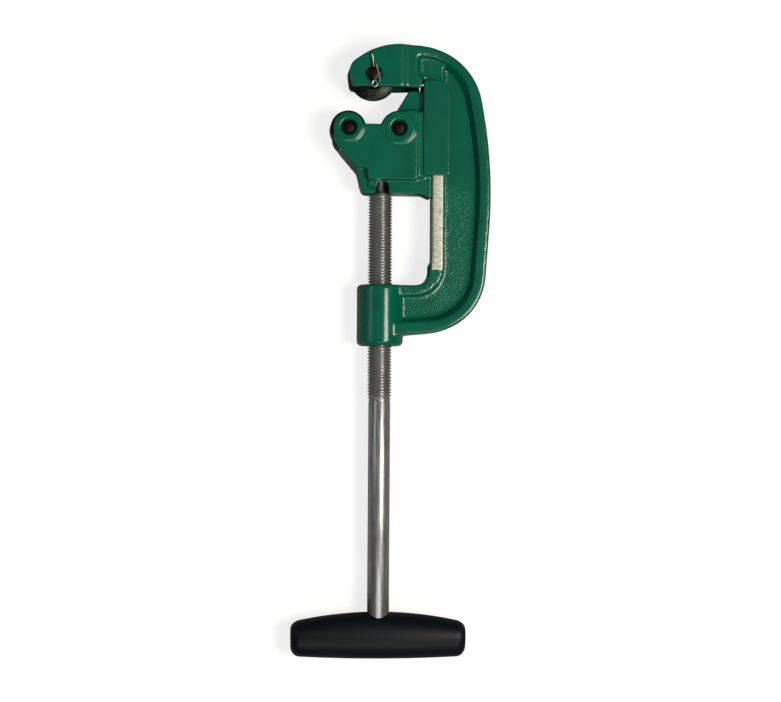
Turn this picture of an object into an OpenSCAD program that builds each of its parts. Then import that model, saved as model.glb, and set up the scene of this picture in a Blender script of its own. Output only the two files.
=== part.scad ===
// Screw-feed pipe cutter: a C-shaped cast frame carries one cutter wheel in its
// forked hook, and a screw pushes a slide with two rollers up the frame's rail.
// The tool lies on its side: +Y runs along the screw towards the hook, +Z is up,
// and the origin is at the bottom centre of the whole tool's box.

/* [Frame] */
// Length from the boss's lower face to the top of the hook
frame_l = 198.6; // [185:0.2:240]
// Distance from the screw's axis to the rail's guide face
throat_reach = 33.4; // [32:0.2:42]
// Distance from the screw's axis to the frame's outer edge
frame_reach = 73; // [69:1:90]
// Width of the guide rail
rail_w = 7.5; // [6:0.1:10]
// Thickness of the guide rail and of the inner flange
rail_t = 20; // [16:0.5:24]
// Thickness of the web between the flanges
web_t = 12; // [8:0.5:15]
// Thickness of the outer rim
rim_t = 26; // [21:0.5:31]
// Width of the outer rim's flat face
rim_w = 7.5; // [6:0.5:9.5]
// Outer diameter of the screw boss
boss_d = 30.6; // [25:0.2:34]
// Length of the screw boss
boss_l = 40.5; // [32:0.5:46]

/* [Hook and cutter wheel] */
// Thickness over the hook's two cheeks
hook_t = 32; // [30:0.5:40]
// Width of the slot between the cheeks
slot_w = 18.6; // [16:0.2:20]
// Height of the hook from its underside to its top
hook_h = 28.7; // [27.2:0.5:38]
// Diameter of the cutter wheel over its edge
wheel_d = 32; // [26.5:0.5:34]
// Length of the cutter wheel's hub
hub_l = 18; // [12:0.5:18.2]
// Diameter of the cutter wheel's hub
hub_d = 17; // [14:0.5:20]
// Diameter of the cutter wheel's axle
axle_d = 9; // [7:0.25:11]
// How far the axle's front end stands out of the cheek
axle_proud = 4.6; // [4:0.2:6]
// Diameter of the split pin over both legs
split_pin_d = 2.4; // [1.6:0.1:3]

/* [Slide and rollers] */
// Distance from the cutter wheel's edge to the roller axes at rest
jaw_rest = 19; // [16:0.5:30]
// Diameter of each roller
roller_d = 23.5; // [19.5:0.5:26]
// Length of each roller
roller_l = 19; // [15:0.5:19.4]
// Distance between the two roller axes
roller_spread = 33; // [31:0.5:36]
// Distance from the slide's lower face to the roller axes
roller_rise = 43; // [41:0.5:50]
// Diameter of each roller's pin
pin_d = 8; // [6:0.2:9.6]
// Wire diameter of the rings that keep the pins in
ring_wire = 1.1; // [0.8:0.1:1.3]
// Width of the ears that straddle the rail
ear_w = 17.6; // [15:0.2:18]
// Height of the ears along the rail
ear_h = 62.5; // [45:0.5:64]

/* [Screw and handle] */
// Thread diameter of the feed screw
screw_d = 16; // [13:0.2:19.2]
// Thread pitch
pitch = 2; // [1.5:0.25:2.5]
// Length of the thread
thread_l = 136; // [116:2:150]
// Diameter of the plain shank below the thread
shank_d = 14.4; // [12:0.2:16.5]
// Distance from the slide's lower face to the handle's axis
screw_l = 290; // [241:1:350]
// Length of the handle
handle_l = 115; // [96:0.5:138]
// Height of the handle at its middle
handle_mid = 30.8; // [26:0.1:31.5]
// Height of the handle at its ends
handle_end = 22.4; // [20:0.1:26]
// Depth of the handle at its middle, front to back
handle_depth = 22; // [20:0.5:28]

/* [Hidden] */
$fn = 96;
eps = 0.01;
run = 0.05;              // radial clearance of a running fit
gap = 0.3;               // clearance between sliding or neighbouring faces
jaw_shut = 12.5;         // wheel's edge to the roller axes when the slide is fully up
cut_x = -5.5;            // wheel and roller pair, off the screw's axis
wheel_y = frame_l - 20.6;
hook_y = frame_l - hook_h;
hook_side = cut_x - hub_l / 2 - 7;
arm_y = boss_l - 0.3;
arm_low = 7.6;
flange_w = 7.2;
rim_slope = 1.4;         // width of the slope from the rim down to the web
head_step = 1.5;         // drop from the hook's cheek to the rest of the head
rail_out = throat_reach + rail_w;
rail_low = arm_y + 14;   // lower end of the rail's machined faces
cast_x = throat_reach - 1.6;
axis_y = wheel_y - wheel_d / 2 - jaw_rest;
slide_rest = axis_y - roller_rise;
toe = 3;                 // how far the tongue reaches below the slide at the rail
travel_up = jaw_rest - jaw_shut;
travel_down = slide_rest - toe - rail_low;
roller_x = [cut_x - roller_spread / 2, cut_x + roller_spread / 2];
cheek_r = [pin_d / 2 + 6.2, pin_d / 2 + 7.4];
cheek_in = roller_l / 2 + 0.25;
cheek_out = hook_t / 2 - 0.8;
ring_r = pin_d / 2 + ring_wire / 2 - 0.35;
sink_r = pin_d / 2 + 1.4;
sink = 2.6;
ring_z = hook_t / 2 - sink + ring_wire / 2 + 0.05;
pin_l = 2 * ring_z + 2;
ear_x = throat_reach - 6.4;
ear_y = slide_rest + 12;
ear_in = rail_t / 2 + gap;
tongue_y = axis_y + roller_d / 2 + 13.2;
pocket_y = tongue_y + travel_up + 2 * gap;
tongue_t = roller_l + 1.5;
core_x = throat_reach - gap;
socket_r = screw_d / 2 + 6.7;
journal_d = screw_d - 4;
journal_y = slide_rest + 8.5;
journal_l = 12;
neck_d = screw_d - 10;
groove_y = journal_y + 4.5;
groove_h = 4.2;
groove_d = screw_d - 8;
keeper_d = 3.8;
keeper_x = groove_d / 2 + keeper_d / 2 + run;
ball_d = 6;
seat_d = journal_d - 2;
seat_t = 3;
tip_y = journal_y + journal_l;
thread_top = slide_rest + 0.3;
thread_low = thread_top - thread_l;
thread_depth = 0.61 * pitch;
handle_bar_d = 8;
handle_bar_l = handle_l - 20;
eye_y = slide_rest - screw_l;
axle_head_d = axle_d + 4;
axle_head_t = 3;
axle_rear = -hook_t / 2 + 1;
axle_front = hook_t / 2 + axle_proud;
split_z = axle_front - 2.3;

// Points of the arc of radius r that rounds the corner b between a and c
function corner_arc(a, b, c, r, steps = 12) =
    let (u = (a - b) / norm(a - b), v = (c - b) / norm(c - b),
         half = acos(u * v) / 2,
         centre = b + (u + v) / norm(u + v) * r / sin(half),
         from = b + u * r / tan(half) - centre,
         turn = (180 - 2 * half) * (cross(u, v) > 0 ? -1 : 1))
    [for (i = [0 : steps])
        let (t = turn * i / steps)
        centre + [from.x * cos(t) - from.y * sin(t), from.x * sin(t) + from.y * cos(t)]];

// Closed outline through corners [x, y, radius]; a radius of 0 keeps the corner sharp
function rounded(corners) =
    let (n = len(corners), at = function (i) [corners[i % n].x, corners[i % n].y])
    [for (i = [0 : n - 1])
        let (r = corners[i][2])
        each r > 0 ? corner_arc(at(i + n - 1), at(i), at(i + 1), r) : [at(i)]];

// Plate of the given outline, centred on the tool's middle plane
module plate(outline, t) {
    translate([0, 0, -t / 2]) linear_extrude(t) polygon(outline);
}

// Solid cylinder along the screw's axis, from y0 to y1, with its two ends chamfered by c0 and c1
module along_screw(d, y0, y1, c0 = 0, c1 = 0) {
    rotate([-90, 0, 0]) rotate_extrude() polygon([
        [0, y0], [d / 2 - c0, y0], if (c0 > 0) [d / 2, y0 + c0],
        if (c1 > 0) [d / 2, y1 - c1], [d / 2 - c1, y1], [0, y1]]);
}

// Cylinder parallel to Z through the point at, from z0 to z1
module across(at, d, z0, z1) {
    translate([at.x, at.y, z0]) cylinder(d = d, h = z1 - z0);
}

frame_outline = rounded([
    [boss_d / 4, arm_low - 1.3, 0],
    [frame_reach - 6.5, arm_low + 4.2, 40],
    [frame_reach + 1, frame_l * 0.58, 310],
    [frame_reach - 12.8, frame_l - 3.1, 44],
    [cut_x + 3.7, frame_l + 0.7, 46],
    [hook_side - 1, frame_l - 14.3, 9],
    [hook_side + 1, hook_y, 3],
    [throat_reach, hook_y, 3],
    [throat_reach, rail_low + 1.2, 1],
    [cast_x, rail_low, 1],
    [cast_x, arm_y, 9],
    [boss_d / 4, arm_y, 0]]);

// Shift that brings the bottom centre of the whole tool's box to the origin
low_corner = [-handle_l / 2, eye_y - handle_mid / 2];
high_corner = [max([for (p = frame_outline) p.x]), max([for (p = frame_outline) p.y])];
base = [-(low_corner.x + high_corner.x) / 2, -(low_corner.y + high_corner.y) / 2, hook_t / 2];

// Region inside an outer rim of width w, with room for the ears at the top of their travel
rim_top = ear_y + ear_h + travel_up + 14.5;
rim_bend = 0.8 * (frame_reach - throat_reach);
function inside_rim(w) = rounded([
    [0, arm_low - 0.5 + w, 0],
    [frame_reach - 6.5 - w, arm_low + 3.5 + w, 31],
    [frame_reach + 0.9 - w, frame_l * 0.575, 280],
    [frame_reach - 11.9 - w, rim_top - w, rim_bend],
    [throat_reach - 9.4, rim_top + 2.5 - w, 0],
    [throat_reach - 9.4, pocket_y + 2.5, 0],
    [throat_reach - 7, pocket_y + 2.5, 0],
    [throat_reach - 7, arm_y + 1, 0],
    [0, arm_y + 1, 0]]);

// Region outside the rail and the inner flange
behind_rail = rounded([
    [boss_d / 2 - 5, 0, 0],
    [frame_reach + 5, 0, 0],
    [frame_reach + 5, frame_l, 0],
    [rail_out, frame_l, 0],
    [rail_out, arm_y - flange_w, 19],
    [boss_d / 2 - 5, arm_y - flange_w, 0]]);

module frame_solid() {
    plate(frame_outline, web_t);
    difference() {
        plate(frame_outline, rail_t);
        intersection() {
            plate(inside_rim(rim_w + rim_slope), rail_t + 1);
            plate(behind_rail, rail_t + 2);
        }
    }
    difference() {
        plate(frame_outline, rim_t);
        plate(inside_rim(rim_w), rim_t + 1);
    }
    // Hook, stepping and tapering from its full thickness down to the rim
    intersection() {
        difference() {
            plate(frame_outline, hook_t);
            plate(inside_rim(rim_w), hook_t + 1);
        }
        translate([0, frame_l + 10, 0]) rotate([90, 0, 0])
            linear_extrude(frame_l) polygon([
                [hook_side - 5, -hook_t / 2], [cut_x + 18, -hook_t / 2],
                [cut_x + 22, -hook_t / 2 + head_step],
                [throat_reach - 11, -hook_t / 2 + head_step],
                [frame_reach - 22, -rim_t / 2 + 1], [frame_reach - 22, rim_t / 2 - 1],
                [throat_reach - 11, hook_t / 2 - head_step],
                [cut_x + 22, hook_t / 2 - head_step],
                [cut_x + 18, hook_t / 2], [hook_side - 5, hook_t / 2]]);
        translate([-frame_reach, hook_y - 1, -hook_t])
            cube([2 * frame_reach, hook_h + 10, 2 * hook_t]);
    }
    along_screw(boss_d, 0, boss_l, 2, 1.5);
}

module frame() {
    color([0.09, 0.37, 0.28]) translate(base) difference() {
        frame_solid();
        // Fork slot, round at its closed end
        across([cut_x, wheel_y], wheel_d + 5, -slot_w / 2, slot_w / 2);
        translate([cut_x - wheel_d, wheel_y - wheel_d, -slot_w / 2])
            cube([wheel_d + wheel_d / 2 + 2.5, wheel_d, slot_w]);
        translate([cut_x - wheel_d, hook_y, -slot_w / 2])
            cube([wheel_d, hook_h + 5, slot_w]);
        // Pocket behind the slot, for the slide's tongue at the top of its travel
        translate([cut_x, hook_y - 4, -tongue_t / 2 - gap])
            cube([throat_reach - cut_x, pocket_y - hook_y + 4, tongue_t + 2 * gap]);
        // Axle bore, with the head's counterbore in the rear cheek
        across([cut_x, wheel_y], axle_d + 2 * run, -hook_t, hook_t);
        across([cut_x, wheel_y], axle_head_d + 2 * run, -hook_t, axle_rear + axle_head_t);
        // Running bore that stands for the screw's internal thread
        along_screw(screw_d + 2 * run, -1, boss_l + 1);
    }
}

module cutter_wheel() {
    color([0.16, 0.16, 0.17]) translate(base) translate([cut_x, wheel_y, 0])
        difference() {
            rotate_extrude() polygon([
                [0, -hub_l / 2], [hub_d / 2 - 0.8, -hub_l / 2], [hub_d / 2, -hub_l / 2 + 0.8],
                [hub_d / 2, -2.3], [wheel_d / 2 - 4.2, -1.9], [wheel_d / 2 - 0.1, -0.15],
                [wheel_d / 2, 0], [wheel_d / 2 - 0.1, 0.15], [wheel_d / 2 - 4.2, 1.9],
                [hub_d / 2, 2.3], [hub_d / 2, hub_l / 2 - 0.8], [hub_d / 2 - 0.8, hub_l / 2],
                [0, hub_l / 2]]);
            cylinder(d = axle_d + 2 * run, h = hub_l + 2, center = true);
        }
}

module cutter_axle() {
    color([0.35, 0.35, 0.36]) translate(base) difference() {
        union() {
            across([cut_x, wheel_y], axle_d, axle_rear, axle_front - 0.8);
            translate([cut_x, wheel_y, axle_front - 0.8 - eps])
                cylinder(d1 = axle_d, d2 = axle_d - 1.6, h = 0.8 + eps);
            across([cut_x, wheel_y], axle_head_d, axle_rear, axle_rear + axle_head_t - eps);
        }
        translate([cut_x, wheel_y, split_z]) rotate([90, 0, 0])
            cylinder(d = split_pin_d + 0.2, h = axle_d + 2, center = true, $fn = 32);
    }
}

module split_pin() {
    wire = split_pin_d / 2;
    eye_r = split_pin_d * 0.8;
    out_y = axle_d / 2 + 1;
    fold = axle_front + 0.9 - split_z;
    color([0.8, 0.8, 0.8]) translate(base) translate([cut_x, wheel_y, split_z]) {
        // Shank through the axle, and the eye below it
        translate([0, out_y, 0]) rotate([90, 0, 0])
            cylinder(d = split_pin_d, h = out_y + axle_d / 2 + 0.9, $fn = 32);
        translate([0, -axle_d / 2 - 0.5 - eye_r, 0])
            rotate_extrude($fn = 48) translate([eye_r, 0]) circle(d = wire, $fn = 24);
        // Straight leg
        translate([-wire / 2, out_y - 0.6, 0]) rotate([-90, 0, 4])
            cylinder(d = wire - 0.1, h = 8, $fn = 24);
        // Leg bent over the axle's end
        translate([wire / 2 + 0.05, out_y - wire / 2, -0.3])
            cylinder(d = wire + 0.1, h = fold + 0.3, $fn = 24);
        translate([wire / 2 + 0.05, out_y, fold]) rotate([90, 0, 12])
            cylinder(d = wire, h = 11.5, $fn = 24);
    }
}

cheek_right = throat_reach - 10.2;
cheek_foot = slide_rest + 9;
cheek_outline = rounded([
    [roller_x[0] - cheek_r[0], axis_y, 0],
    [roller_x[0] - cheek_r[0] + 0.5, axis_y - 9.5, 10],
    [-socket_r - 1.6, slide_rest + 16.6, 3],
    [-socket_r + 4.9, slide_rest + 17, 2.5],
    [-socket_r + 4.9, cheek_foot, 1.5],
    [cheek_right, cheek_foot, 1.5],
    [cheek_right, axis_y + cheek_r[1] + 0.3, 1.5],
    [roller_x[1] - 1, axis_y + cheek_r[1] - 0.1, 0],
    [roller_x[1] - 2, axis_y + 2.5, 0],
    [roller_x[0] + 2, axis_y + 2.5, 0]]);

// One cheek: the outline with a round hump about each roller's axis
module cheek(t) {
    plate(cheek_outline, t);
    for (i = [0, 1])
        translate([roller_x[i], axis_y, -t / 2]) cylinder(r = cheek_r[i], h = t);
}

// Body between the cheeks, with the tongue that rides along the rail
core_outline = rounded([
    [cut_x, axis_y - 6, 2],
    [roller_x[1] - 0.5, axis_y, 0],
    [roller_x[1] - 0.5, axis_y + roller_d / 2 + 1.2, 1],
    [roller_x[1] + 6.7, tongue_y, 2],
    [core_x, tongue_y, 2],
    [core_x, slide_rest - toe, 1],
    [throat_reach - 6.5, slide_rest, 5],
    [-socket_r + 2.2, slide_rest, 4],
    [-socket_r - 1.2, slide_rest + 14, 4],
    [roller_x[0] - cheek_r[0] + 4, axis_y - 14.6, 6],
    [roller_x[0] - cheek_r[0] + 4, axis_y - 6, 3]]);

ear_outline = rounded([
    [ear_x, ear_y, 1.5], [ear_x + ear_w, ear_y, 1.5],
    [ear_x + ear_w, ear_y + ear_h, 9], [ear_x, ear_y + ear_h, 1.5]]);

module slide_solid() {
    plate(core_outline, tongue_t);
    for (side = [-1, 1]) {
        translate([0, 0, side * (cheek_in + cheek_out) / 2])
            cheek(cheek_out - cheek_in);
        translate([0, 0, side * (ear_in + hook_t / 2) / 2])
            plate(ear_outline, hook_t / 2 - ear_in);
        for (i = [0, 1])
            translate([roller_x[i], axis_y, side > 0 ? cheek_out - 1 : -hook_t / 2])
                cylinder(r = cheek_r[i] - 1.2, h = hook_t / 2 - cheek_out + 1);
    }
    // Shoulder between the cheeks and the ears, and the spine that joins the ears to the tongue
    translate([cheek_right - 1, cheek_foot + 1.5, -cheek_out + 1])
        cube([ear_x + 2 - cheek_right, axis_y + cheek_r[1] - cheek_foot - 1.5, 2 * cheek_out - 2]);
    intersection() {
        plate(ear_outline, hook_t - 2);
        translate([ear_x - 1, slide_rest, -hook_t])
            cube([core_x - ear_x + 1, tongue_y - slide_rest, 2 * hook_t]);
    }
    along_screw(2 * socket_r, slide_rest + 0.5, slide_rest + 16, 4);
}

module slide_block() {
    color([0.09, 0.37, 0.28]) translate(base) difference() {
        slide_solid();
        for (x = roller_x) {
            across([x, axis_y], roller_d + 2 * 0.4, -cheek_in, cheek_in);
            across([x, axis_y], pin_d + 2 * run, -hook_t, hook_t);
            for (z = [-hook_t, hook_t / 2 - sink])
                across([x, axis_y], 2 * sink_r, z, z + (z < 0 ? hook_t / 2 + sink : hook_t));
        }
        // Socket for the screw's journal, its ball and the seat under the ball
        along_screw(journal_d + 2 * run, slide_rest - 5, tip_y + ball_d - 1.2);
        along_screw(seat_d + 2 * run, tip_y, tip_y + ball_d + seat_t - 1.2);
        along_screw(screw_d + 1, slide_rest - 5, thread_top + 0.5);
        // Window that bares the screw's neck on the front, open to its right
        across([0.6, slide_rest + 4.2], neck_d + 2.4, 0, hook_t);
        translate([0.6 - neck_d / 2 - 1.2, slide_rest - 5, 0])
            cube([neck_d + 2.4, 9.2, hook_t]);
        translate([0, slide_rest - 5, tongue_t / 2])
            cube([2 * socket_r, cheek_foot - slide_rest + 5, hook_t]);
        // Blind holes for the retaining pins, drilled from the rear
        for (x = [-keeper_x, keeper_x])
            across([x, groove_y + groove_h / 2], keeper_d + 0.04, -hook_t, 9);
    }
}

module roller(x) {
    color([0.13, 0.13, 0.14]) translate(base) translate([x, axis_y, 0])
        difference() {
            rotate_extrude() polygon([
                [0, -roller_l / 2], [roller_d / 2 - 1.5, -roller_l / 2],
                for (a = [0 : 15 : 90])
                    [roller_d / 2 - 1.5 + 1.5 * sin(a), -roller_l / 2 + 1.5 - 1.5 * cos(a)],
                for (a = [0 : 15 : 90])
                    [roller_d / 2 - 1.5 + 1.5 * cos(a), roller_l / 2 - 1.5 + 1.5 * sin(a)],
                [0, roller_l / 2]]);
            cylinder(d = pin_d + 2 * run, h = roller_l + 2, center = true);
        }
}

module roller_pin(x) {
    color([0.22, 0.21, 0.21]) translate(base) translate([x, axis_y, 0])
        difference() {
            rotate_extrude() polygon([
                [0, -pin_l / 2], [pin_d / 2 - 0.6, -pin_l / 2], [pin_d / 2, -pin_l / 2 + 0.6],
                [pin_d / 2, pin_l / 2 - 0.6], [pin_d / 2 - 0.6, pin_l / 2], [0, pin_l / 2]]);
            for (z = [-ring_z, ring_z])
                translate([0, 0, z]) rotate_extrude()
                    translate([ring_r, 0]) circle(d = ring_wire + 0.04, $fn = 24);
        }
}

module retaining_ring(x, side) {
    color([0.4, 0.4, 0.42]) translate(base) translate([x, axis_y, side * ring_z])
        rotate([0, 0, 105]) rotate_extrude(angle = 330)
            translate([ring_r, 0]) circle(d = ring_wire, $fn = 24);
}

module feed_screw() {
    turns = floor(thread_l / pitch);
    r = screw_d / 2;
    root = r - thread_depth;
    color([0.72, 0.71, 0.68]) translate(base) difference() {
        rotate([-90, 0, 0]) rotate_extrude() polygon([
            [0, eye_y - handle_mid / 4],
            [shank_d / 2 - 1, eye_y - handle_mid / 4],
            [shank_d / 2, eye_y - handle_mid / 4 + 1],
            [shank_d / 2, thread_low - 1.5],
            [root, thread_low],
            for (i = [0 : turns - 1])
                let (y = thread_low + i * pitch)
                each [[root, y + 0.12 * pitch], [r, y + 0.44 * pitch],
                      [r, y + 0.56 * pitch], [root, y + 0.88 * pitch]],
            [root, thread_top - 0.5], [neck_d / 2 + 1, thread_top],
            [neck_d / 2, thread_top + 1.2], [neck_d / 2, journal_y], [journal_d / 2, journal_y],
            [journal_d / 2, groove_y], [groove_d / 2, groove_y],
            [groove_d / 2, groove_y + groove_h], [journal_d / 2, groove_y + groove_h],
            [journal_d / 2, tip_y - 1], [journal_d / 2 - 1, tip_y], [0, tip_y]]);
        // Eye for the handle's cross bar
        translate([-screw_d, eye_y, 0]) rotate([0, 90, 0])
            cylinder(d = handle_bar_d, h = 2 * screw_d);
        // Seat of the ball in the screw's tip
        translate([0, tip_y + ball_d / 2 - 1.5, 0]) sphere(d = ball_d + 2 * run);
    }
}

module screw_retaining_pin(x) {
    color([0.5, 0.5, 0.52]) translate(base)
        across([x, groove_y + groove_h / 2], keeper_d, -hook_t / 2 + 2, 9);
}

module thrust_ball() {
    color([0.8, 0.8, 0.82]) translate(base)
        translate([0, tip_y + ball_d / 2 - 1.5, 0]) sphere(d = ball_d);
}

module thrust_seat() {
    color([0.5, 0.5, 0.52]) translate(base)
        along_screw(seat_d, tip_y + ball_d - 1.2 - 0.28, tip_y + ball_d - 1.2 - 0.28 + seat_t);
}

module handle_bar() {
    color([0.6, 0.6, 0.6]) translate(base) translate([-handle_bar_l / 2, eye_y, 0])
        rotate([0, 90, 0]) cylinder(d = handle_bar_d, h = handle_bar_l);
}

// Half-height of the handle above (side 1) or below (side -1) its axis, at share u of its half-length
function handle_half(u, side) =
    let (drop = (handle_mid - handle_end) * (side > 0 ? 0.8 : 0.2),
         end = sqrt(max(0, 1 - pow(max(0, (u - 0.9) / 0.1), 2))))
    (handle_mid / 2 - drop * u * u) * (0.55 + 0.45 * end);
function handle_deep(u) =
    let (end = sqrt(max(0, 1 - pow(max(0, (u - 0.9) / 0.1), 2))))
    handle_depth / 2 * (1 - 0.18 * u * u) * (0.55 + 0.45 * end);

module handle() {
    sides = 36;
    shares = [-1, -0.995, -0.98, -0.96, -0.93, for (u = [-0.9 : 0.15 : 0.91]) u, 0.93, 0.96, 0.98, 0.995, 1];
    rings = len(shares);
    points = [for (u = shares) for (k = [0 : sides - 1])
        let (a = 360 * k / sides, s = abs(u))
        [u * handle_l / 2,
         handle_half(s, sin(a) >= 0 ? 1 : -1) * sin(a),
         handle_deep(s) * cos(a)]];
    skin = [for (i = [0 : rings - 2]) for (k = [0 : sides - 1])
        let (n = (k + 1) % sides)
        each [[i * sides + k, i * sides + n, (i + 1) * sides + n],
              [i * sides + k, (i + 1) * sides + n, (i + 1) * sides + k]]];
    caps = [[for (k = [sides - 1 : -1 : 0]) k],
            [for (k = [0 : sides - 1]) (rings - 1) * sides + k]];
    color([0.1, 0.11, 0.12]) translate(base) difference() {
        translate([0, eye_y, 0]) polyhedron(points, concat(skin, caps));
        along_screw(shank_d, eye_y - handle_mid / 4, eye_y + handle_mid);
        translate([-handle_bar_l / 2, eye_y, 0]) rotate([0, 90, 0])
            cylinder(d = handle_bar_d, h = handle_bar_l);
    }
}

frame();
cutter_wheel();
cutter_axle();
split_pin();
slide_block();
roller(roller_x[0]);  // roller_left
roller(roller_x[1]);  // roller_right
roller_pin(roller_x[0]);  // roller_pin_left
roller_pin(roller_x[1]);  // roller_pin_right
retaining_ring(roller_x[0], 1);  // retaining_ring_left_front
retaining_ring(roller_x[0], -1);  // retaining_ring_left_rear
retaining_ring(roller_x[1], 1);  // retaining_ring_right_front
retaining_ring(roller_x[1], -1);  // retaining_ring_right_rear
feed_screw();
screw_retaining_pin(-keeper_x);  // screw_retaining_pin_left
screw_retaining_pin(keeper_x);  // screw_retaining_pin_right
thrust_ball();
thrust_seat();
handle_bar();
handle();
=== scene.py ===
import bpy, math
import numpy as np
from mathutils import Matrix, Vector, noise


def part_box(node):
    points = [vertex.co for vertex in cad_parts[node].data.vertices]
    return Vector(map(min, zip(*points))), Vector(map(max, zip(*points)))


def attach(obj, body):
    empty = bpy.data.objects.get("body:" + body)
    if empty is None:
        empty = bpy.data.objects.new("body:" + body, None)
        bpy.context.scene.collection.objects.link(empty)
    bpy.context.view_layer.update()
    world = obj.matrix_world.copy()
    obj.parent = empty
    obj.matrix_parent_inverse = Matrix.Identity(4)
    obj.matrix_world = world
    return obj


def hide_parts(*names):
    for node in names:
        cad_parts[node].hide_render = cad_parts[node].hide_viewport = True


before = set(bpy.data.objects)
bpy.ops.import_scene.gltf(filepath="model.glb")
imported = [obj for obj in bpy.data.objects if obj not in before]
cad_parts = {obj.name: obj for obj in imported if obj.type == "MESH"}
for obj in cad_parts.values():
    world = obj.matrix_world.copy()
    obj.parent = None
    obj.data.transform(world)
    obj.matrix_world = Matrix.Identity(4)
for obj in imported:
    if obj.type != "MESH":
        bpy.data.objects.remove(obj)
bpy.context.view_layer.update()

# ---------------------------------------------------------------- camera
# The tool lies on its back face and is seen from above with a long lens, a
# little from the handle's side and from the left. mm() turns a place given in
# millimetres from the screw's axis, the boss's lower face and the tool's middle
# plane into the frame's metres.
frame_low, frame_high = (Vector(p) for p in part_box("frame"))
screw_low, screw_high = (Vector(p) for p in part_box("feed_screw"))
datum = Vector(((screw_low.x + screw_high.x) / 2, frame_low.y, (frame_low.z + frame_high.z) / 2))

def mm(x, y, z=0):
    return datum + Vector((x, y, z)) / 1000

look_from_handle = math.radians(1.6)
look_from_left = math.radians(4.2)
lean = math.radians(0.35)
distance = 1.5
view_width_mm = 515.46
aim = mm(7.2, -3.1)

back = Vector((-math.sin(look_from_left), -math.sin(look_from_handle), 0))
back.z = math.sqrt(1 - back.length_squared)
sight = bpy.data.cameras.new("camera")
sight.sensor_width = 36
sight.lens = sight.sensor_width * distance * 1000 / view_width_mm
sight.clip_end = 30
camera = bpy.data.objects.new("camera", sight)
bpy.context.collection.objects.link(camera)
camera.location = aim + back * distance
up = (Vector((0, 1, 0)) - back * back.y).normalized()
sight_axes = Matrix((up.cross(back), up, back)).transposed()
camera.rotation_euler = (sight_axes @ Matrix.Rotation(lean, 3, "Z")).to_euler()
bpy.context.scene.camera = camera
bpy.context.scene.view_settings.view_transform = "Standard"

# ---------------------------------------------------------------- floor and light
# A white photographic table that sweeps up into its surround, which is matt
# painted board. It shows white to the eye and takes the tool's soft shadow.
def linear(hex_colour):
    """Linear RGBA of an sRGB hex colour such as #1b5e47."""
    parts = [int(hex_colour[i:i + 2], 16) / 255 for i in (1, 3, 5)]
    return tuple(c / 12.92 if c <= 0.04045 else ((c + 0.055) / 1.055) ** 2.4 for c in parts) + (1,)

def add(material, kind, inputs={}, **settings):
    """Adds a node to a material, sets its fields, and fills or links its inputs."""
    made = material.node_tree.nodes.new(kind)
    for field, value in settings.items():
        setattr(made, field, value)
    for key, value in inputs.items():
        if isinstance(value, bpy.types.NodeSocket):
            material.node_tree.links.new(value, made.inputs[key])
        else:
            made.inputs[key].default_value = value
    return made

def new_material(name):
    """An empty node material and its output node."""
    material = bpy.data.materials.new(name)
    material.use_nodes = True
    material.node_tree.nodes.clear()
    return material, add(material, "ShaderNodeOutputMaterial")

def new_piece(name, vertices, faces, *materials):
    """Mesh object of the given points and faces, smooth shaded."""
    mesh = bpy.data.meshes.new(name)
    mesh.from_pydata([tuple(v) for v in vertices], [], faces)
    mesh.validate()
    mesh.update()
    for material in materials:
        mesh.materials.append(material)
    mesh.shade_smooth()
    piece = bpy.data.objects.new(name, mesh)
    bpy.context.collection.objects.link(piece)
    return piece

def turned_mesh(profile, sides, closed=False):
    """Points and faces of a profile [(radius, height), ...] turned about Z."""
    points, rings = [], []
    for radius, height in profile:
        first = len(points)
        if radius > 0:
            rings.append([first + k for k in range(sides)])
            points += [(radius * math.cos(2 * math.pi * k / sides),
                        radius * math.sin(2 * math.pi * k / sides), height) for k in range(sides)]
        else:
            rings.append([first] * sides)
            points.append((0, 0, height))
    faces = []
    pairs = list(zip(rings, rings[1:])) + ([(rings[-1], rings[0])] if closed else [])
    for low, high in pairs:
        for k in range(sides):
            n = (k + 1) % sides
            corners = []
            for c in (low[k], low[n], high[n], high[k]):
                if c not in corners:
                    corners.append(c)
            if len(corners) > 2:
                faces.append(corners)
    return points, faces

table_radius, sweep_radius, sweep_height = 3.0, 1.2, 3.5
board_glow = 0.78
board, board_out = new_material("white_painted_board")
board_rays = add(board, "ShaderNodeLightPath")
lift = add(board, "ShaderNodeMath", {0: board_rays.outputs["Is Camera Ray"], 1: board_glow},
           operation="MULTIPLY")
matt = add(board, "ShaderNodeBsdfDiffuse", {"Color": linear("#a0a0a0"), "Roughness": 0.6})
glow = add(board, "ShaderNodeEmission", {"Color": linear("#ffffff"), "Strength": lift.outputs[0]})
both = add(board, "ShaderNodeAddShader", {0: matt.outputs[0], 1: glow.outputs[0]})
board.node_tree.links.new(both.outputs[0], board_out.inputs["Surface"])

sweep = [(0, 0), (0.5, 0), (table_radius, 0)]
for k in range(1, 10):
    bend = math.radians(10 * k)
    sweep.append((table_radius + sweep_radius * math.sin(bend), sweep_radius * (1 - math.cos(bend))))
sweep += [(table_radius + sweep_radius, sweep_height)]
table = new_piece("photographic_table", *turned_mesh(sweep, 64), board)

def soft_box(name, place, size, watts, colour="#ffffff"):
    """Rectangular area lamp that faces the middle of the tool."""
    lamp = bpy.data.lights.new(name, "AREA")
    lamp.shape = "RECTANGLE"
    lamp.size, lamp.size_y = size
    lamp.energy = watts
    lamp.color = linear(colour)[:3]
    stand = bpy.data.objects.new(name, lamp)
    bpy.context.collection.objects.link(stand)
    stand.location = place
    stand.rotation_euler = (-Vector(place)).to_track_quat("-Z", "Y").to_euler()

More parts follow.
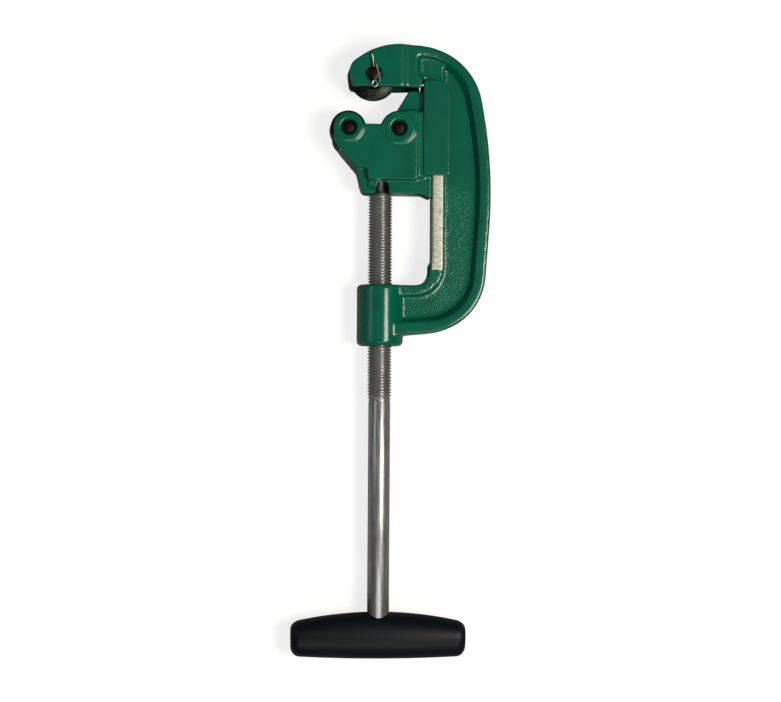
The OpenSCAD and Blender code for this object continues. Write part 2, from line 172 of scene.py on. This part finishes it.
soft_box("soft_box_right", (0.75, -0.15, 1.5), (0.7, 0.5), 24, "#fff6e8")
soft_box("soft_box_handle_side", (0.1, -1.25, 1.4), (1.2, 0.6), 7)
soft_box("soft_box_left", (-1.4, 0.4, 1.2), (1.5, 0.6), 3.5, "#e6efff")
room = bpy.data.worlds.new("studio_room")
room.use_nodes = True
room.node_tree.nodes["Background"].inputs["Color"].default_value = linear("#ffffff")
room.node_tree.nodes["Background"].inputs["Strength"].default_value = 0.14
bpy.context.scene.world = room

# ---------------------------------------------------------------- frame casting
# The C-shaped body is sand-cast ductile iron, fettled, machined on the rail that
# the slide runs on, and dipped in green enamel. Cast edges are soft, and the
# sunk web keeps the coarse skin of the sand.
frame_voxel, frame_rounding, slope_rounding, frame_unevenness = 0.0007, 14, 18, 0.00003
wave_length = 0.00625  # the castings' faces wave a little, every 6 mm or so
# In millimetres, from the screw's axis, the boss's lower face and the middle plane
throat_reach, rail_width, rail_half = 33.4, 7.5, 10
rail_face_low, rail_face_high, guide_face_low = 50.3, 165, 54.8
web_side, arm_side, arm_height, hook_height, rim_half = 42.5, 18, 41, 176, 13
sand_skin_by_boss, sand_skin_by_hook = (118, 100), (176, 182)

def shaped_by_modifiers(piece):
    """Applies the piece's modifiers to its mesh, and returns the mesh."""
    bpy.context.view_layer.update()
    shaped = piece.evaluated_get(bpy.context.evaluated_depsgraph_get())
    mesh = bpy.data.meshes.new_from_object(shaped)
    piece.modifiers.clear()
    piece.data = mesh
    return mesh

def casting(name, node, voxel, rounding, unevenness, sloping=None):
    """Copy of a CAD node with its edges softened as sand casting and enamel leave them, and
    more so where sloping(x, y) in mm is true: there its steps become slopes."""
    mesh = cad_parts[node].data.copy()
    mesh.materials.clear()
    piece = bpy.data.objects.new(name, mesh)
    bpy.context.collection.objects.link(piece)
    remesh = piece.modifiers.new("even_skin", "REMESH")
    remesh.mode = "VOXEL"
    remesh.voxel_size = voxel
    soften = piece.modifiers.new("soft_edges", "SMOOTH")
    soften.factor = 0.5
    soften.iterations = rounding
    skin = shaped_by_modifiers(piece)
    if sloping:
        sloped = [v.index for v in skin.vertices if sloping(*((v.co - datum) * 1000).xy)]
        piece.vertex_groups.new(name="slopes").add(sloped, 1, "REPLACE")
        soften = piece.modifiers.new("cast_slopes", "SMOOTH")
        soften.factor = 0.5
        soften.iterations = slope_rounding
        soften.vertex_group = "slopes"
        skin = shaped_by_modifiers(piece)
        piece.vertex_groups.clear()
    skin.shade_smooth()
    places = np.empty(len(skin.vertices) * 3)
    normals = np.empty(len(skin.vertices) * 3)
    skin.vertices.foreach_get("co", places)
    skin.vertex_normals.foreach_get("vector", normals)
    places, normals = places.reshape(-1, 3), normals.reshape(-1, 3)
    wave = np.array([noise.noise(Vector(p) / wave_length) for p in places])
    places += normals * (wave * unevenness - unevenness)[:, None]
    skin.vertices.foreach_set("co", places.ravel())
    skin.update()
    return piece

def sand_skin(material, place, axes, depth):
    """Height of the coarse skin that the sand leaves, which shows on the sunk web by the boss
    and by the hook, in grains about 0.8 mm across."""
    grain = add(material, "ShaderNodeTexVoronoi", {"Vector": place, "Scale": 1200},
                feature="SMOOTH_F1")
    sunk = add(material, "ShaderNodeMapRange", {"Value": depth,
               "From Min": (rim_half - 0.4) / 1000, "From Max": (rim_half - 1.4) / 1000})
    near = [add(material, "ShaderNodeMapRange", {"Value": axes.outputs["Y"],
                "From Min": mm(0, none_at).y, "From Max": mm(0, full_at).y})
            for none_at, full_at in (sand_skin_by_boss, sand_skin_by_hook)]
    height = add(material, "ShaderNodeMath", {0: near[0].outputs[0], 1: near[1].outputs[0]},
                 operation="ADD")
    for layer in (sunk.outputs[0], grain.outputs["Distance"]):
        height = add(material, "ShaderNodeMath", {0: height.outputs[0], 1: layer},
                     operation="MULTIPLY")
    return height.outputs[0]

def filed_iron(material, place):
    """Bare grey iron, filed across the rail in strokes 0.4 mm apart, which break its shine."""
    strokes = add(material, "ShaderNodeMapping", {"Vector": place, "Scale": (300, 2400, 300)})
    strokes = add(material, "ShaderNodeTexNoise", {"Vector": strokes.outputs[0], "Scale": 1,
                                                   "Detail": 3})
    filed = add(material, "ShaderNodeValToRGB", {"Fac": strokes.outputs["Fac"]})
    filed.color_ramp.elements[0].color = linear("#6c6f65")
    filed.color_ramp.elements[0].position = 0.3
    filed.color_ramp.elements[1].color = linear("#c2c4b6")
    filed.color_ramp.elements[1].position = 0.55
    scratch = add(material, "ShaderNodeBump", {"Height": strokes.outputs["Fac"],
                                               "Strength": 0.3, "Distance": 0.0002})
    return add(material, "ShaderNodeBsdfPrincipled", {
        "Base Color": filed.outputs["Color"], "Metallic": 0.35, "Roughness": 0.45,
        "Normal": scratch.outputs[0]})

def machined_faces(material, place, axes, depth):
    """1 on the rail's machined faces, which are a strip at the front and at the rear and the
    guide face on the throat's side, and 0 on the enamel. The strips start at a ragged line."""
    x, y = axes.outputs["X"], axes.outputs["Y"]
    middle = mm(throat_reach + rail_width / 2, 0).x
    off_middle = add(material, "ShaderNodeMath", {0: x, 1: middle}, operation="SUBTRACT")
    off_middle = add(material, "ShaderNodeMath", {0: off_middle.outputs[0]}, operation="ABSOLUTE")
    rag = add(material, "ShaderNodeTexNoise", {"Vector": place, "Scale": 700, "Detail": 3})
    ragged = add(material, "ShaderNodeMath", {0: rag.outputs["Fac"], 1: 0.0008, 2: y},
                 operation="MULTIPLY_ADD")
    below_head = (y, "LESS_THAN", mm(0, rail_face_high).y)
    strips = [(off_middle.outputs[0], "LESS_THAN", rail_width / 2000 - 0.0002),
              (ragged.outputs[0], "GREATER_THAN", mm(0, rail_face_low + 0.4).y), below_head,
              (depth, "GREATER_THAN", (rail_half - 0.8) / 1000)]
    guide_face = [(x, "LESS_THAN", mm(throat_reach + 0.5, 0).x),
                  (x, "GREATER_THAN", mm(throat_reach - 0.5, 0).x),
                  (y, "GREATER_THAN", mm(0, guide_face_low).y), below_head]
    faces = []
    for limits in (strips, guide_face):
        inside = 1
        for value, test, limit in limits:
            met = add(material, "ShaderNodeMath", {0: value, 1: limit}, operation=test)
            inside = add(material, "ShaderNodeMath", {0: inside, 1: met.outputs[0]},
                         operation="MULTIPLY").outputs[0]
        faces.append(inside)
    return add(material, "ShaderNodeMath", {0: faces[0], 1: faces[1]}, operation="MAXIMUM").outputs[0]

def enamelled_iron(name, is_frame=False):
    """Glossy green enamel on cast iron: deep colour, a wet gloss, and the orange peel of a
    thick dipped coat, in waves 3 to 4 mm long; the frame has the sand's skin and bare faces."""
    material, out = new_material(name)
    place = add(material, "ShaderNodeTexCoord").outputs["Object"]
    axes = add(material, "ShaderNodeSeparateXYZ", {0: place})
    depth = add(material, "ShaderNodeMath", {0: axes.outputs["Z"], 1: datum.z}, operation="SUBTRACT")
    depth = add(material, "ShaderNodeMath", {0: depth.outputs[0]}, operation="ABSOLUTE").outputs[0]
    cloud = add(material, "ShaderNodeTexNoise", {"Vector": place, "Scale": 60, "Detail": 4})
    tone = add(material, "ShaderNodeValToRGB", {"Fac": cloud.outputs["Fac"]})
    tone.color_ramp.elements[0].color = linear("#025742")
    tone.color_ramp.elements[0].position = 0.35
    tone.color_ramp.elements[1].color = linear("#035f49")
    tone.color_ramp.elements[1].position = 0.65
    peel = add(material, "ShaderNodeTexNoise", {"Vector": place, "Scale": 300, "Detail": 2})
    bump = add(material, "ShaderNodeBump", {"Height": peel.outputs["Fac"], "Strength": 0.06,
                                            "Distance": 0.0006})
    if is_frame:
        bump = add(material, "ShaderNodeBump", {
            "Height": sand_skin(material, place, axes, depth), "Strength": 0.28,
            "Distance": 0.0005, "Normal": bump.outputs[0]})
    surface = add(material, "ShaderNodeBsdfPrincipled", {
        "Base Color": tone.outputs["Color"], "Roughness": 0.17, "IOR": 1.5,
        "Specular IOR Level": 0.35, "Normal": bump.outputs[0]})
    if is_frame:
        surface = add(material, "ShaderNodeMixShader", {
            "Fac": machined_faces(material, place, axes, depth),
            1: surface.outputs[0], 2: filed_iron(material, place).outputs[0]})
    material.node_tree.links.new(surface.outputs[0], out.inputs["Surface"])
    return material

def web_and_rim(x, y):
    """True on the web and the rim, whose walls are cast with a slope."""
    return x > web_side or (x > arm_side and (y > hook_height or y < arm_height))

frame_casting = casting("frame_casting", "frame", frame_voxel, frame_rounding, frame_unevenness,
                        web_and_rim)
frame_casting.data.materials.append(enamelled_iron("green_enamel_on_cast_frame", is_frame=True))
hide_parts("frame")
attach(frame_casting, "frame_body")

# ---------------------------------------------------------------- slide casting
# The block that carries the rollers is cast and enamelled like the frame; its
# ears straddle the rail, and the bosses round the roller pins stand a little
# proud of the cheeks.
slide_voxel, slide_rounding, slide_unevenness = 0.0005, 20, 0.000025
slide_casting = casting("slide_casting", "slide_block", slide_voxel, slide_rounding, slide_unevenness)
slide_casting.data.materials.append(enamelled_iron("green_enamel_on_cast_slide"))
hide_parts("slide_block")
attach(slide_casting, "slide_body")

# ---------------------------------------------------------------- black-oxide steel parts
# Rollers, their pins and the axle are turned from bar and blackened in hot
# oxide, which leaves a thin oily black over fine turning marks.
def darkened_steel(name, dark, light, rough, axis):
    """Blackened steel: a low, oily shine that varies in clouds, over fine turning marks round
    the given centre line."""
    material, out = new_material(name)
    place = add(material, "ShaderNodeTexCoord").outputs["Object"]
    place = add(material, "ShaderNodeVectorMath", {0: place, 1: (axis.x, axis.y, 0)},
                operation="SUBTRACT").outputs[0]
    axes = add(material, "ShaderNodeSeparateXYZ", {0: place})
    flat = add(material, "ShaderNodeCombineXYZ", {0: axes.outputs[0], 1: axes.outputs[1]})
    radius = add(material, "ShaderNodeVectorMath", {0: flat.outputs[0]}, operation="LENGTH")
    # Turning marks 0.25 mm apart
    rings = add(material, "ShaderNodeCombineXYZ", {0: radius.outputs["Value"], 1: axes.outputs[2]})
    marks = add(material, "ShaderNodeTexNoise", {"Vector": rings.outputs[0], "Scale": 4000,
                                                 "Detail": 1})
    cloud = add(material, "ShaderNodeTexNoise", {"Vector": place, "Scale": 350, "Detail": 5})
    tone = add(material, "ShaderNodeValToRGB", {"Fac": cloud.outputs["Fac"]})
    tone.color_ramp.elements[0].color = linear(dark)
    tone.color_ramp.elements[0].position = 0.35
    tone.color_ramp.elements[1].color = linear(light)
    tone.color_ramp.elements[1].position = 0.7
    bump = add(material, "ShaderNodeBump", {"Height": marks.outputs["Fac"], "Strength": 0.25,
                                            "Distance": 0.00008})
    worn = add(material, "ShaderNodeMapRange", {"Value": cloud.outputs["Fac"],
               "To Min": rough - 0.08, "To Max": rough + 0.12})
    steel = add(material, "ShaderNodeBsdfPrincipled", {
        "Base Color": tone.outputs["Color"], "Metallic": 0.85, "Roughness": worn.outputs[0],
        "Normal": bump.outputs[0]})
    material.node_tree.links.new(steel.outputs[0], out.inputs["Surface"])
    return material

def turned(name, profile, centre, material, sides=96, closed=False):
    """Piece turned about the upright axis through centre, its sharp corners kept crisp."""
    points, faces = turned_mesh([(r / 1000, h / 1000) for r, h in profile], sides, closed)
    piece = new_piece(name, [Vector(p) + centre for p in points], faces, material)
    piece.data.set_sharp_from_angle(angle=math.radians(38))
    return piece

roller_radius, roller_half, roller_edge = 11.75, 9.5, 1.5
pin_radius, pin_half = 4.0, 15.0
roller_height = 143
roller_places = {"left": mm(-22, roller_height), "right": mm(11, roller_height)}

def keep_cad_shape(node, material):
    """Leaves a piece in its CAD shape and gives it the material."""
    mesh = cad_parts[node].data
    mesh.materials.clear()
    mesh.materials.append(material)

for side, centre in roller_places.items():
    black = darkened_steel("black_oxide_roller_" + side, "#0b0c0e", "#17181b", 0.34, centre)
    edge = [math.radians(15 * k) for k in range(7)]
    profile = [(pin_radius + 0.05, -roller_half)]
    profile += [(roller_radius - roller_edge * (1 - math.sin(a)),
                 -roller_half + roller_edge * (1 - math.cos(a))) for a in edge]
    profile += [(roller_radius - roller_edge * (1 - math.cos(a)),
                 roller_half - roller_edge * (1 - math.sin(a))) for a in edge]
    profile += [(pin_radius + 0.05, roller_half)]
    roller = turned("roller_" + side + "_turned", profile, centre, black, closed=True)
    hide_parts("roller_" + side)
    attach(roller, "roller_" + side + "_body")
for side, centre in roller_places.items():
    oiled = darkened_steel("black_oxide_pin_" + side, "#090909", "#1a1715", 0.42, centre)
    domed_end = [(pin_radius, pin_half - 0.4), (pin_radius - 0.5, pin_half + 0.1),
                 (pin_radius - 1.4, pin_half + 0.35), (0, pin_half + 0.5)]
    profile = [(radius, -height) for radius, height in domed_end[::-1]] + domed_end
    pin = turned("roller_pin_" + side + "_turned", profile, centre, oiled, sides=64)
    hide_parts("roller_pin_" + side)
    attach(pin, "slide_body")
    for end in ("front", "rear"):
        keep_cad_shape("retaining_ring_" + side + "_" + end, oiled)

# ---------------------------------------------------------------- cutter wheel and axle
# The wheel is tool steel, turned with a hub on each side and ground to a sharp
# edge. Its near-black, green-tinted colour is painted shade, standing for the
# shade in the hook's slot. It runs on a plain axle that is headed at the rear
# and kept by a split pin at the front.
wheel_radius, wheel_hub_radius, wheel_hub_half = 16.0, 8.5, 9.0
axle_radius, axle_front, axle_rear = 4.5, 20.6, -15.0
axle_place = mm(-5.5, 178)
# Painted shade: the wheel's steel is coloured near black and tinted green for the shade in the hook's
# slot.
wheel_steel_with_painted_shade = darkened_steel("tool_steel_wheel_with_painted_shade", "#101613", "#242b28", 0.34, axle_place)
half_profile = [(wheel_radius - 0.15, 0.1), (wheel_radius - 4.2, 1.9), (wheel_hub_radius + 0.4, 2.3),
                (wheel_hub_radius, 2.6), (wheel_hub_radius, wheel_hub_half - 0.8),
                (wheel_hub_radius - 0.8, wheel_hub_half), (axle_radius + 0.05, wheel_hub_half)]
profile = [(radius, -height) for radius, height in half_profile[::-1]]
profile += [(wheel_radius, 0)] + half_profile
wheel = turned("cutter_wheel_ground", profile, axle_place, wheel_steel_with_painted_shade, sides=128, closed=True)
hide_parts("cutter_wheel")
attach(wheel, "wheel_body")

axle_steel = darkened_steel("oiled_axle_steel", "#141312", "#2c2927", 0.33, axle_place)
profile = [(0, axle_rear), (axle_radius + 1.4, axle_rear), (axle_radius + 2, axle_rear + 0.6),
           (axle_radius + 2, axle_rear + 3), (axle_radius, axle_rear + 3), (axle_radius, axle_front - 1.0),
           (axle_radius - 0.3, axle_front - 0.35), (axle_radius - 1.0, axle_front), (0, axle_front)]
axle = turned("cutter_axle_turned", profile, axle_place, axle_steel, sides=80)
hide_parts("cutter_axle")
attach(axle, "frame_body")

# ---------------------------------------------------------------- split pin
# A steel wire folded on itself, made here as round wire: an eye below the axle,
# two legs through it, one left straight and one bent down over the axle's end.
pin_wire, pin_height = 0.52, 18.3
def bright_wire_steel():
    """Drawn low-carbon steel wire, bright and slightly streaked along its length."""
    material, out = new_material("bright_drawn_wire")
    place = add(material, "ShaderNodeTexCoord").outputs["Object"]
    streak = add(material, "ShaderNodeMapping", {"Vector": place, "Scale": (3000, 300, 3000)})
    drawn = add(material, "ShaderNodeTexNoise", {"Vector": streak.outputs[0], "Scale": 1, "Detail": 2})
    tone = add(material, "ShaderNodeValToRGB", {"Fac": drawn.outputs["Fac"]})
    tone.color_ramp.elements[0].color = linear("#9a9a98")
    tone.color_ramp.elements[1].color = linear("#e6e6e2")
    steel = add(material, "ShaderNodeBsdfPrincipled", {
        "Base Color": tone.outputs["Color"], "Metallic": 1.0, "Roughness": 0.24})
    material.node_tree.links.new(steel.outputs[0], out.inputs["Surface"])
    return material

def wire(name, route, radius, material):
    """Round wire bent through the given points, its ends closed."""
    line = bpy.data.curves.new(name, "CURVE")
    line.dimensions = "3D"
    line.bevel_depth = radius
    line.bevel_resolution = 5
    line.resolution_u = 6
    line.use_fill_caps = True
    spline = line.splines.new("NURBS")
    spline.points.add(len(route) - 1)
    for point, place in zip(spline.points, route):
        point.co = (*place, 1)
    spline.order_u = 3
    spline.use_endpoint_u = True
    bent = bpy.data.objects.new(name, line)
    bpy.context.collection.objects.link(bent)
    mesh = bpy.data.meshes.new_from_object(bent.evaluated_get(bpy.context.evaluated_depsgraph_get()))
    bpy.data.objects.remove(bent)
    mesh.materials.clear()
    mesh.materials.append(material)
    mesh.shade_smooth()
    piece = bpy.data.objects.new(name, mesh)
    bpy.context.collection.objects.link(piece)
    return piece

def near_axle(x, y, z):
    return axle_place + Vector((x, y, z)) / 1000

top, bottom = axle_radius + 0.7, -axle_radius - 0.6
eye = [(-0.65, bottom, pin_height), (-1.5, bottom - 1.0, pin_height), (-1.9, bottom - 2.2, pin_height),
       (-1.1, bottom - 3.4, pin_height), (0, bottom - 3.7, pin_height), (1.1, bottom - 3.4, pin_height),
       (1.9, bottom - 2.2, pin_height), (1.5, bottom - 1.0, pin_height), (0.65, bottom, pin_height)]
straight = [(-1.7, top + 7.2, pin_height + 0.6), (-1.2, top + 4, pin_height + 0.2),
            (-0.65, top, pin_height), (-0.65, 0, pin_height)]
bent_leg = [(0.65, 0, pin_height), (0.65, top - 0.6, pin_height), (0.8, top + 0.9, pin_height + 0.8),
            (1.0, top + 0.6, axle_front + 0.8), (1.3, top - 1.4, axle_front + 0.75),
            (2.2, 0, axle_front + 0.7), (3.6, -6.0, axle_front + 0.6)]
split_pin = wire("split_pin_bent", [near_axle(*p) for p in straight + eye + bent_leg],
                 pin_wire / 1000, bright_wire_steel())
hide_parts("split_pin")
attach(split_pin, "frame_body")

# ---------------------------------------------------------------- feed screw
# A single steel bar: rolled M16 thread of 2 mm pitch, a turned neck and journal
# that the retaining pins hold in the slide, and a plain shank. It is zinc
# plated, which gives a soft grey metal with a yellowish cast.
thread_radius, pitch, thread_low, thread_top = 8.0, 2.0, -35.7, 100.3
thread_root = thread_radius - 0.61 * pitch
shank_radius, shank_foot = 7.2, -197.7
neck_radius, journal_radius, groove_radius = 3.0, 6.0, 4.0
journal_low, groove_low, groove_high, journal_high = 108.5, 113.0, 117.2, 120.5
undercut_radius = shank_radius - 0.25
screw_sides = 72
flank = [(0.0, 0.0), (0.10, 0.02), (0.40, 0.90), (0.46, 1.0), (0.54, 1.0), (0.60, 0.90), (0.90, 0.02)]

rows = [[(0, shank_foot)] * (screw_sides + 1), [(shank_radius - 1, shank_foot)] * (screw_sides + 1),
        [(shank_radius, shank_foot + 1)] * (screw_sides + 1),
        [(shank_radius, thread_low - 1.5)] * (screw_sides + 1),
        [(undercut_radius, thread_low - 0.6)] * (screw_sides + 1)]
first_turn = math.floor(thread_low / pitch) - 1
last_turn = math.ceil(thread_top / pitch) + 1
for turn in range(first_turn, last_turn):
    for share, rise in flank:
        row = []
        for k in range(screw_sides + 1):
            y = (turn + share + k / screw_sides) * pitch
            run_in = min(1, max(0, (y - thread_low) / (2 * pitch)))
            run_out = max(0, (thread_top - y) / pitch)
            root = thread_root + (undercut_radius - thread_root) * (1 - run_in)
            radius = root + (thread_radius - thread_root) * rise * min(run_in, run_out)
            row.append((min(radius, thread_radius), min(max(y, thread_low), thread_top)))
        rows.append(row)
rows += [[place] * (screw_sides + 1) for place in [
    (thread_root, thread_top), (neck_radius + 1, thread_top + 0.2), (neck_radius, thread_top + 1.4),
    (neck_radius, journal_low), (journal_radius, journal_low), (journal_radius, groove_low),
    (groove_radius, groove_low), (groove_radius, groove_high), (journal_radius, groove_high),
    (journal_radius, journal_high - 1), (journal_radius - 1, journal_high), (0, journal_high)]]
turns = [2 * math.pi * k / screw_sides for k in range(screw_sides + 1)]
points = [mm(radius * math.sin(turn), y, radius * math.cos(turn))
          for row in rows for turn, (radius, y) in zip(turns, row)]
width = screw_sides + 1
faces = [(i * width + k, i * width + k + 1, (i + 1) * width + k + 1, (i + 1) * width + k)
         for i in range(len(rows) - 1) for k in range(screw_sides)]

def zinc_plated_steel():
    """Zinc on rolled and drawn steel: satin, faintly yellow, with painted shade that darkens the thread's
    roots.
    """
    material, out = new_material("zinc_plated_screw_steel")
    place = add(material, "ShaderNodeTexCoord").outputs["Object"]
    axes = add(material, "ShaderNodeSeparateXYZ", {0: place})
    side = add(material, "ShaderNodeMath", {0: axes.outputs["X"], 1: datum.x}, operation="SUBTRACT")
    deep = add(material, "ShaderNodeMath", {0: axes.outputs["Z"], 1: datum.z}, operation="SUBTRACT")
    spoke = add(material, "ShaderNodeCombineXYZ", {0: side.outputs[0], 1: deep.outputs[0]})
    radius = add(material, "ShaderNodeVectorMath", {0: spoke.outputs[0]}, operation="LENGTH")
    crest = add(material, "ShaderNodeMapRange", {"Value": radius.outputs["Value"],
                "From Min": thread_root / 1000, "From Max": (shank_radius - 0.1) / 1000})
    stretched = add(material, "ShaderNodeMapping", {"Vector": place, "Scale": (900, 60, 900)})
    streak = add(material, "ShaderNodeTexNoise", {"Vector": stretched.outputs[0], "Scale": 1, "Detail": 4})
    tone = add(material, "ShaderNodeValToRGB", {"Fac": streak.outputs["Fac"]})
    tone.color_ramp.elements[0].color = linear("#86898b")
    tone.color_ramp.elements[0].position = 0.3
    tone.color_ramp.elements[1].color = linear("#adaea8")
    tone.color_ramp.elements[1].position = 0.7
    # Painted shade: the thread's roots take a darker grey than the crests.
    painted_root_shade = add(material, "ShaderNodeMix", {0: crest.outputs[0], 6: linear("#878983"),
               7: tone.outputs["Color"]}, data_type="RGBA")
    worn = add(material, "ShaderNodeMapRange", {"Value": streak.outputs["Fac"],
               "To Min": 0.25, "To Max": 0.38})
    drawn = add(material, "ShaderNodeBump", {"Height": streak.outputs["Fac"], "Strength": 0.2,
                                             "Distance": 0.0001})
    steel = add(material, "ShaderNodeBsdfPrincipled", {
        "Base Color": painted_root_shade.outputs[2], "Metallic": 0.8, "Roughness": worn.outputs[0],
        "Normal": drawn.outputs[0]})
    material.node_tree.links.new(steel.outputs[0], out.inputs["Surface"])
    return material

zinc = zinc_plated_steel()
screw = new_piece("feed_screw_threaded", points, faces, zinc)
weld = screw.modifiers.new("closed_seam", "WELD")
weld.merge_threshold = 0.000002
shaped_by_modifiers(screw).set_sharp_from_angle(angle=math.radians(50))
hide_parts("feed_screw")
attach(screw, "screw_body")

# ---------------------------------------------------------------- parts inside the casting
# Two spring-steel pins hold the screw's journal in the slide, a hardened ball
# takes the thrust on its seat, and a steel bar holds the handle to the screw.
# They keep their CAD shapes.
for node in ("screw_retaining_pin_left", "screw_retaining_pin_right", "thrust_seat"):
    keep_cad_shape(node, oiled)
# The ball takes the wheel's steel, with its painted shade.
keep_cad_shape("thrust_ball", wheel_steel_with_painted_shade)
keep_cad_shape("handle_bar", zinc)

# ---------------------------------------------------------------- handle
# A solid injection-moulded bar of black glass-filled nylon, arched on the
# screw's side and flatter on the palm's side, with domed ends. The moulding's
# fine matt texture is a little burnished by hands.
handle_place = mm(0, -190)
handle_length, handle_middle, handle_end, handle_depth, end_depth = 115, 30.8, 22.4, 22.0, 18.0
dome_starts, dome_closes, arch = 0.9, 0.55, 0.8
socket_radius, socket_floor, socket_length = (shank_radius + 0.25) / 1000, -197.8, 0.05

def handle_section(share):
    """Half-heights above and below, and half-depth, at a share of the half-length, in mm."""
    dome = math.sqrt(max(0, 1 - max(0, (share - dome_starts) / (1 - dome_starts)) ** 2))
    fall = (handle_middle - handle_end) * share * share
    close = dome_closes + (1 - dome_closes) * dome
    return ((handle_middle / 2 - arch * fall) * close,
            (handle_middle / 2 - (1 - arch) * fall) * close,
            (handle_depth / 2 - (handle_depth - end_depth) / 2 * share * share) * close)

def moulded_nylon():
    """Black nylon: soft satin gloss over a fine spark-eroded grain about 0.5 mm across."""
    material, out = new_material("black_moulded_nylon")
    place = add(material, "ShaderNodeTexCoord").outputs["Object"]
    grain = add(material, "ShaderNodeTexNoise", {"Vector": place, "Scale": 2000, "Detail": 2})
    cloud = add(material, "ShaderNodeTexNoise", {"Vector": place, "Scale": 40, "Detail": 4})
    tone = add(material, "ShaderNodeValToRGB", {"Fac": cloud.outputs["Fac"]})
    tone.color_ramp.elements[0].color = linear("#050a11")
    tone.color_ramp.elements[1].color = linear("#0b1118")
    worn = add(material, "ShaderNodeMapRange", {"Value": cloud.outputs["Fac"],
               "To Min": 0.34, "To Max": 0.5})
    bump = add(material, "ShaderNodeBump", {"Height": grain.outputs["Fac"], "Strength": 0.2,
                                            "Distance": 0.00008})
    nylon = add(material, "ShaderNodeBsdfPrincipled", {
        "Base Color": tone.outputs["Color"], "Roughness": worn.outputs[0], "IOR": 1.53,
        "Specular IOR Level": 0.14, "Normal": bump.outputs[0]})
    material.node_tree.links.new(nylon.outputs[0], out.inputs["Surface"])
    return material

steps, around = 48, 96
turns = [2 * math.pi * k / around for k in range(around)]
points = []
for step in range(-steps, steps + 1):
    share = math.sin(math.pi / 2 * step / steps)
    above, below, deep = handle_section(abs(share))
    for turn in turns:
        height = (above if math.sin(turn) > 0 else below) * math.sin(turn)
        place = Vector((share * handle_length / 2, height, deep * math.cos(turn)))
        points.append(handle_place + place / 1000)
faces = [(i * around + k, i * around + (k + 1) % around,
          (i + 1) * around + (k + 1) % around, (i + 1) * around + k)
         for i in range(2 * steps) for k in range(around)]
faces += [list(range(around))[::-1], list(range(2 * steps * around, (2 * steps + 1) * around))]
handle = new_piece("handle_moulding", points, faces, moulded_nylon())
socket_points, socket_faces = turned_mesh([(0, 0), (socket_radius, 0),
                                           (socket_radius, socket_length), (0, socket_length)], 64)
socket_points = [mm(x * 1000, socket_floor + z * 1000, y * 1000) for x, y, z in socket_points]
socket = new_piece("shaft_socket_cutter", socket_points, socket_faces)
bore = handle.modifiers.new("shaft_socket", "BOOLEAN")
bore.object = socket
bore.operation = "DIFFERENCE"
bore.solver = "EXACT"
shaped_by_modifiers(handle).set_sharp_from_angle(angle=math.radians(45))
bpy.data.objects.remove(socket)
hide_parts("handle")
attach(handle, "screw_body")
